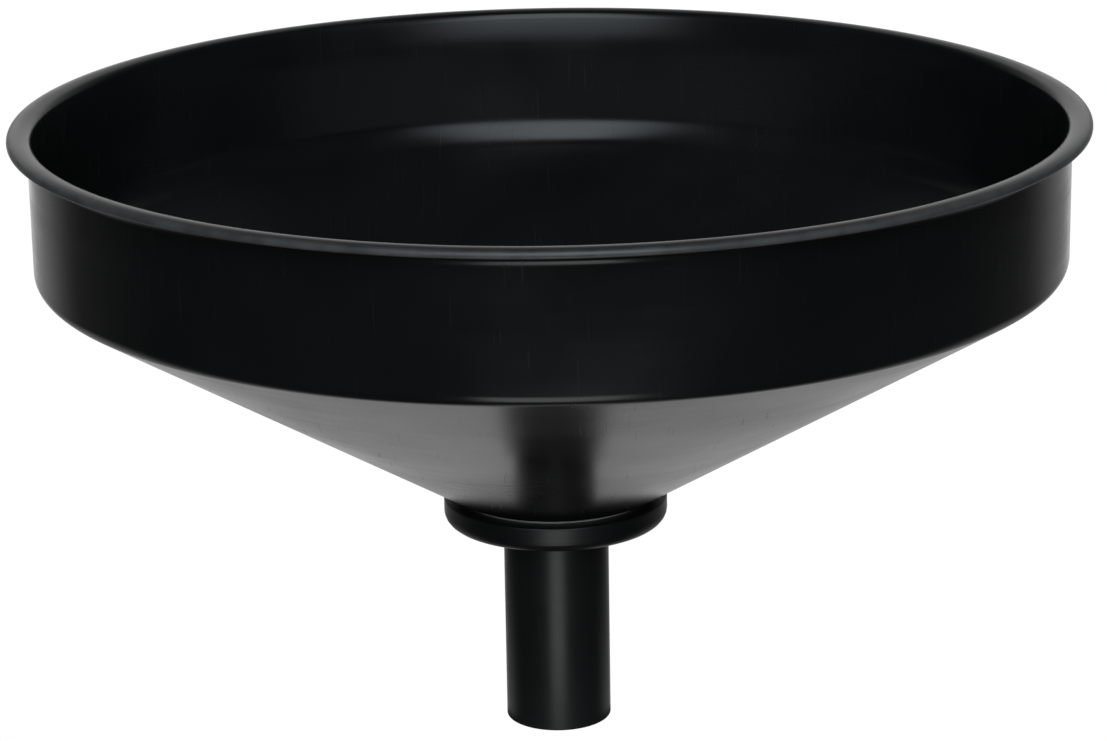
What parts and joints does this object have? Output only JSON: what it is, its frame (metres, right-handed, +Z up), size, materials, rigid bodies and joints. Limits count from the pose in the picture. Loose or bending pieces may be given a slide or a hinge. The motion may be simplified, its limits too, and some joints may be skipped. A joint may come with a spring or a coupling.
{
  "type": "oil drain pan",
  "caption": "Round black lipped bowl with an upright wall and a cone that narrows to a straight drain tube held by a ring nut; a perforated strainer lifts out of it.",
  "frame": {"origin": "centre of the drain tube's lower end", "axes": "+Z up along the bowl's axis; the pan is round, so +X and +Y are free"},
  "size_m": [0.457, 0.4568, 0.2736],
  "materials": {
    "bowl_plastic": "semi-gloss black moulded plastic",
    "fitting_plastic": "semi-gloss black moulded plastic",
    "tube_plastic": "semi-gloss black extruded plastic",
    "gasket_rubber": "dull black rubber",
    "nylon": "natural nylon",
    "sheet_steel": "bright zinc-plated perforated sheet",
    "steel_wire": "plain drawn wire",
    "knob_plastic": "fine-grained black moulded plastic",
    "plated_steel": "zinc-plated, satin",
    "spring_steel": "dark zinc-plated spring steel"
  },
  "bodies": {
    "pan": {"bowl": "bowl_plastic", "through_fitting": "fitting_plastic", "inner_gasket": "gasket_rubber", "slip_washer": "nylon", "lock_nut": "fitting_plastic", "drain_tube": "tube_plastic", "tube_o_ring": "gasket_rubber"},
    "strainer": {"strainer_plate": "sheet_steel", "edge_wire": "steel_wire", "lift_knob": "knob_plastic", "knob_stud": "plated_steel", "flat_washer": "plated_steel", "lock_washer": "spring_steel", "hex_nut": "plated_steel"}
  },
  "joints": [
    {"name": "strainer_lift", "type": "slide", "parent": "pan", "child": "strainer", "axis": [0, 0, 1], "range_m": [0, 0.18]}
  ]
}
